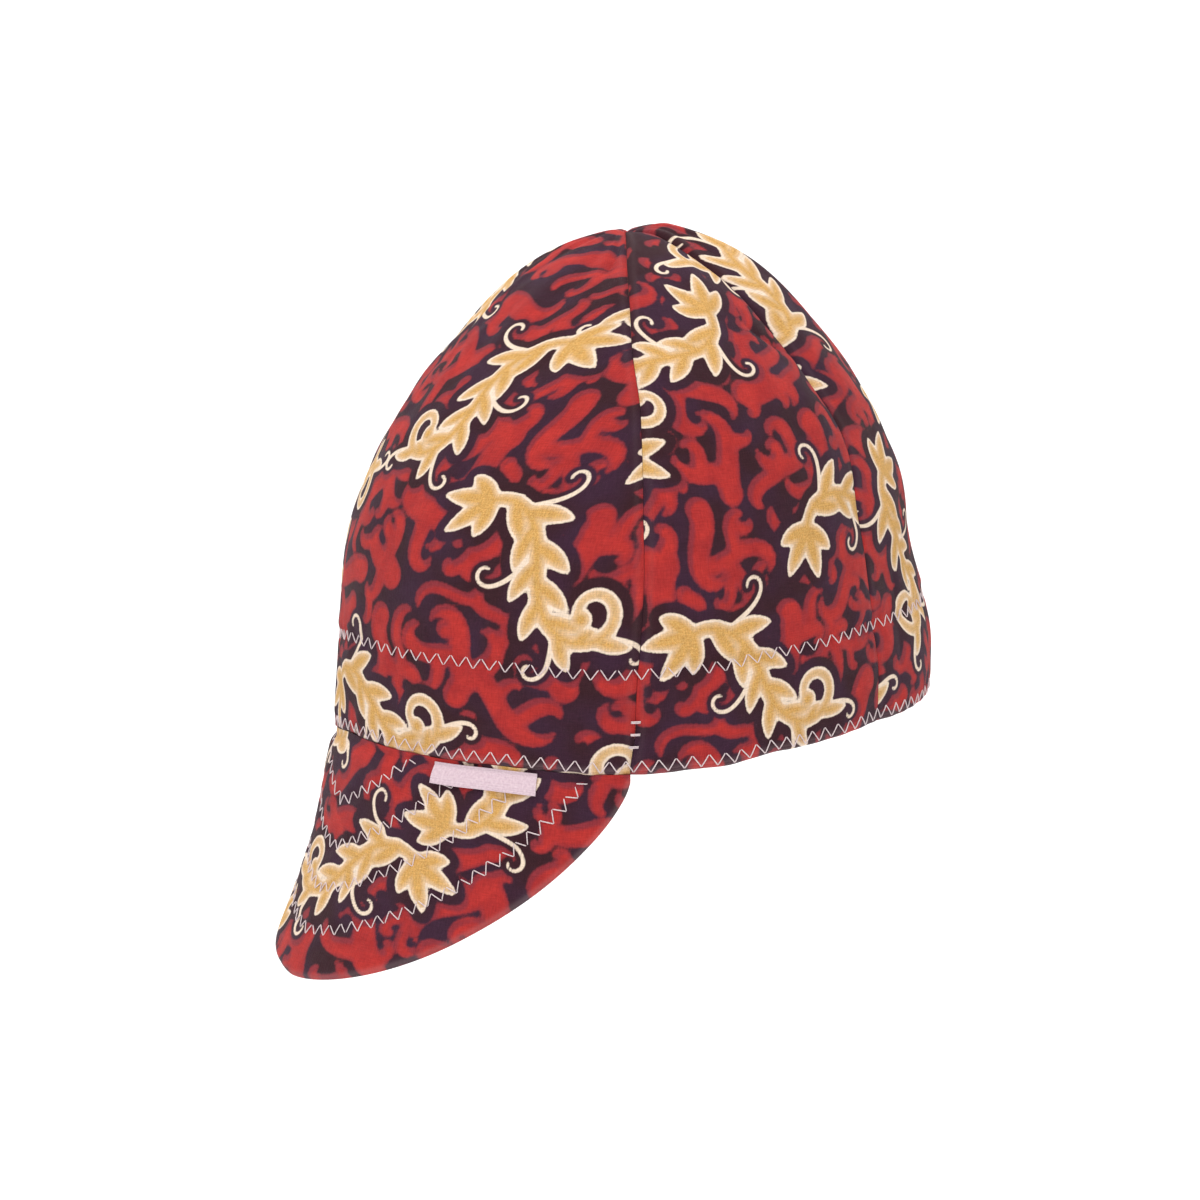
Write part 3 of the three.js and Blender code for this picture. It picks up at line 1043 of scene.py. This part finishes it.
def bill_piece():
    """Padded bill with a rolled outer edge, whose root closes up around the rolled hem edge."""
    columns, rows = int(2 * rim_arc(FRONT_SEAM) / FINE), int(BILL_LENGTH / FINE)
    t = np.linspace(-FRONT_SEAM, FRONT_SEAM, columns)
    reach = bill_reach(t)[:, None] * np.linspace(0, 1, rows)[None, :]
    x = np.repeat(rim_arc(t)[:, None], rows, 1)
    push, d = quilting(x, reach)
    push *= ease(d, 0, 4)
    half = BILL_WALL / 2
    roll = half * np.sqrt(np.clip(1 - (1 - np.clip(d, 0, half) / half) ** 2, 0, 1))
    cloth = np.stack([x, -reach], -1)
    wear = hump(d - 0.6, 1.0)
    top = bill_grid(t, reach, roll + push)
    under = bill_grid(t, reach, -roll + UNDER_SHARE * push)
    groove = (top[:, 0] + under[:, 0]) / 2
    for face in (top, under):
        face[..., 2] += ROOT_RISE * (1 - ease(reach, 0, ROOT_REACH))
    parts = [
        (top, cloth, BILL_PLACE, wear, 0, True),
        (under[:, ::2], cloth[:, ::2], UNDER_PLACE, wear[:, ::2], 0, False),
        strip([top[:, 0], groove, under[:, 0]], cloth[:, 0], BILL_PLACE, False),
        strip([top[0], under[0]], cloth[0], BILL_PLACE, False),
        strip([top[-1], under[-1]], cloth[-1], BILL_PLACE, True),
    ]
    bill = build("bill_cloth", parts, [PRINTED])
    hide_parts("bill")


# Stitches


def line_length(points):
    """Length along a line up to each of its points."""
    return np.concatenate([[0], np.cumsum(np.linalg.norm(np.diff(points, axis=0), axis=1))])


def zigzag(path, normals):
    """Thread laid in zigzag along a path on a surface, dipping into the cloth at each needle hole."""
    arc = line_length(path)
    count = int(arc[-1] / STITCH_LENGTH)
    at = np.linspace(0, arc[-1], count + 1)
    centre = np.stack([np.interp(at, arc, path[:, k]) for k in range(3)], 1)
    up = unit(np.stack([np.interp(at, arc, normals[:, k]) for k in range(3)], 1))
    across = unit(np.cross(up, np.gradient(centre, axis=0)))
    swing = np.where(np.arange(count + 1) % 2 == 0, 1, -1)[:, None] * STITCH_WIDTH / 2
    holes = centre + across * swing
    return [(holes[i], holes[i + 1], (up[i] + up[i + 1]) / 2) for i in range(count)]


def thread_mesh(name, stitches):
    """All stitches of a set as one mesh of short bowed tubes."""
    points, faces = [], []
    ring = np.arange(THREAD_SIDES)[None, :, None] * 2 * math.pi / THREAD_SIDES
    for a, b, up in stitches:
        side = unit(np.cross(up, unit(b - a)))
        centre = a + (b - a) * STITCH_SHARES[:, None] + up * STITCH_BOW[:, None]
        tube = centre[:, None] + THREAD * (np.cos(ring) * side + np.sin(ring) * up)
        first = len(points) * len(STITCH_SHARES) * THREAD_SIDES
        points.append(tube.reshape(-1, 3))
        for i in range(first, first + (len(STITCH_SHARES) - 1) * THREAD_SIDES, THREAD_SIDES):
            for j in range(THREAD_SIDES):
                k = (j + 1) % THREAD_SIDES
                faces.append([i + j, i + k, i + THREAD_SIDES + k, i + THREAD_SIDES + j])
    mesh = bpy.data.meshes.new(name)
    mesh.from_pydata((np.concatenate(points) * MM).tolist(), [], faces)
    smooth(mesh)
    mesh.materials.append(THREAD_LOOK)
    thread = link(name, mesh)
    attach(thread, "root")
    return thread


def bar_tack():
    """Bars over the front seam, each of two threads."""
    bars = []
    for i in range(2 * TACK_BARS):
        h = np.full(2, TACK_HEIGHT + TACK_PITCH * (i // 2) + 2 * THREAD * (i % 2))
        t = seam_at(FRONT_SEAM, h) + TACK_HALF_TURN * np.array([-1, 1])
        up = facing(outside, t, h)
        ends = dressed_crown(t, h) + 0.4 * up
        bars.append((ends[0], ends[1], up.mean(0)))
    return bars


def band_stitches():
    """The band's two rows outside and inside, and the bar tack."""
    stitches = []
    t = np.linspace(-179.5, 179.5, 1440)
    for row in (LOWER_ROW, BAND_HEIGHT):
        h = np.full_like(t, row)
        up = facing(outside, t, h)
        stitches += zigzag(dressed_crown(t, h), up)
        stitches += zigzag(crown_point(t, h, hem_depth(t, h)), -up)
    thread = thread_mesh("band_thread", stitches + bar_tack())


def bill_row(distance):
    """Direction and reach along a row that follows the bill's outer edge and runs out at the hem."""
    edge = bill_edge()
    ahead = unit(np.gradient(edge, axis=0))
    inward = np.stack([ahead[:, 1], -ahead[:, 0]], 1)
    row = edge + inward * distance
    for _ in range(3):
        row = edge + inward * (distance - row_drift(row[:, :1]))
    clear = edge_distance(row[:, 0], row[:, 1]) > distance - row_drift(row[:, 0]) - 0.3
    row = row[clear & (row[:, 1] > ROW_END)]
    arc = line_length(row)
    at = np.linspace(0, arc[-1], int(arc[-1]))
    x, y = (np.interp(at, arc, row[:, k]) for k in range(2))
    return arc_direction(x), y


def bill_stitches():
    """The bill's rows on its top and its underside."""
    stitches = []
    for distance in BILL_ROWS:
        t, reach = bill_row(distance)
        push, _ = quilting(rim_arc(t), reach)
        for side, share in ((1, 1.0), (-1, UNDER_SHARE)):
            over = (side * BILL_WALL / 2 + share * push)[:, None]
            path = bill_grid(t, reach[:, None], over)[:, 0]
            above = bill_grid(t, reach[:, None], over + side)[:, 0]
            stitches += zigzag(path, above - path)
    thread = thread_mesh("bill_thread", stitches)


# Label


def label_piece():
    """Ribbon that hangs over the bill from the hem, with a slight wave along its free edge."""
    half = LABEL_LENGTH / 2 / float(degree_length(LABEL_MIDDLE, np.array(0.0)))
    columns, rows = 90, 26
    t = np.linspace(LABEL_MIDDLE - half, LABEL_MIDDLE + half, columns)
    k = np.linspace(0, 1, rows)[None, :]
    reach = PIECE_GAP + LABEL_DROP * k * np.ones((columns, 1))
    wave = 0.12 * np.sin(np.linspace(0, 9, columns))[:, None] * k
    lift = BILL_WALL / 2 + LABEL_LIFT + wave + 0.25 * k ** 2
    cloth = np.stack([np.repeat(rim_arc(t)[:, None], rows, 1), -reach], -1)
    front = bill_grid(t, reach, lift + LABEL_WALL)
    back = bill_grid(t, reach, lift)
    wear = np.zeros(reach.shape)
    parts = [
        (front, cloth, LABEL_PLACE, wear, 0, True),
        (back, cloth, LABEL_PLACE, wear, 0, False),
        strip([back[:, -1], front[:, -1]], cloth[:, -1], LABEL_PLACE, False),
        strip([back[0], front[0]], cloth[0], LABEL_PLACE, False),
        strip([back[-1], front[-1]], cloth[-1], LABEL_PLACE, True),
    ]
    label = build("label_ribbon", parts, [LABEL_LOOK])
    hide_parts("label")


# Stage, lights and camera


def direction(around, rise):
    """Direction at an angle around from the front and a rise above the level."""
    return Vector((math.sin(around) * math.cos(rise), -math.cos(around) * math.cos(rise), math.sin(rise)))


def stage():
    """Pale floor that curves up behind the cap."""
    g = Graph("stage_white")
    grain = g.noise(g.add("ShaderNodeTexCoord").outputs["Object"], 6.0)
    paint = g.finish(g.mix(grain, FLOOR_SHADE, FLOOR_LIGHT), 0.9, sheen=0.0)
    profile = [(FLOOR_NEAR, 0.0), (FLOOR_FAR, 0.0)]
    for a in np.linspace(0.1, math.pi / 2, 12):
        profile.append((FLOOR_FAR + SWEEP * math.sin(a), SWEEP - SWEEP * math.cos(a)))
    profile.append((FLOOR_FAR + SWEEP, BACKDROP_TOP))
    back, side = direction(VIEW_TURN, 0), direction(VIEW_TURN + math.pi / 2, 0)
    points, faces = [], []
    for depth, rise in profile:
        for width in (-STAGE_HALF, STAGE_HALF):
            points.append(side * width - back * depth + Vector((0, 0, FLOOR + rise)))
    for i in range(0, len(points) - 2, 2):
        faces.append((i, i + 1, i + 3, i + 2))
    mesh = bpy.data.meshes.new("floor")
    mesh.from_pydata(points, [], faces)
    smooth(mesh)
    mesh.materials.append(paint)
    floor = link("floor", mesh)


def lamp(name, around, rise, distance, size, power, aim):
    """Soft square lamp that points at its aim."""
    light = bpy.data.lights.new(name, "AREA")
    light.energy = power
    light.size = size
    spot = direction(VIEW_TURN + math.radians(around), math.radians(rise)) * distance
    lamp_object = link(name, light)
    lamp_object.location = spot
    lamp_object.rotation_euler = (Vector(aim) - spot).to_track_quat("-Z", "Y").to_euler()


def camera():
    """Camera whose picture has the middle of the head opening at its place in the photograph."""
    back, right = direction(VIEW_TURN, VIEW_RISE), direction(VIEW_TURN + math.pi / 2, 0)
    up = back.cross(right)
    across = (PHOTO_SIDE / 2 - OPENING_PIXEL[0]) / VIEW_SCALE * MM
    above = (OPENING_PIXEL[1] - PHOTO_SIDE / 2) / VIEW_SCALE * MM
    data = bpy.data.cameras.new("camera")
    data.sensor_width = SENSOR
    data.lens = SENSOR * VIEW_SCALE * VIEW_DISTANCE / MM / PHOTO_SIDE
    data.clip_end = 50
    eye = link("camera", data)
    eye.location = back * VIEW_DISTANCE
    eye.rotation_euler = (eye.location - right * across - up * above).to_track_quat("Z", "Y").to_euler()
    bpy.context.scene.camera = eye


def studio():
    """Even white light from all around, and plain display colours."""
    world = bpy.data.worlds.new("studio")
    world.use_nodes = True
    background = world.node_tree.nodes["Background"]
    background.inputs[0].default_value = (1, 1, 1, 1)
    background.inputs[1].default_value = WORLD_LIGHT
    bpy.context.scene.world = world
    bpy.context.scene.view_settings.view_transform = "Standard"


for panel in PANELS:
    crown_panel(*panel)
hem_band()
bill_piece()
label_piece()
band_stitches()
bill_stitches()
stage()
for row in LAMPS:
    lamp(*row)
camera()
studio()
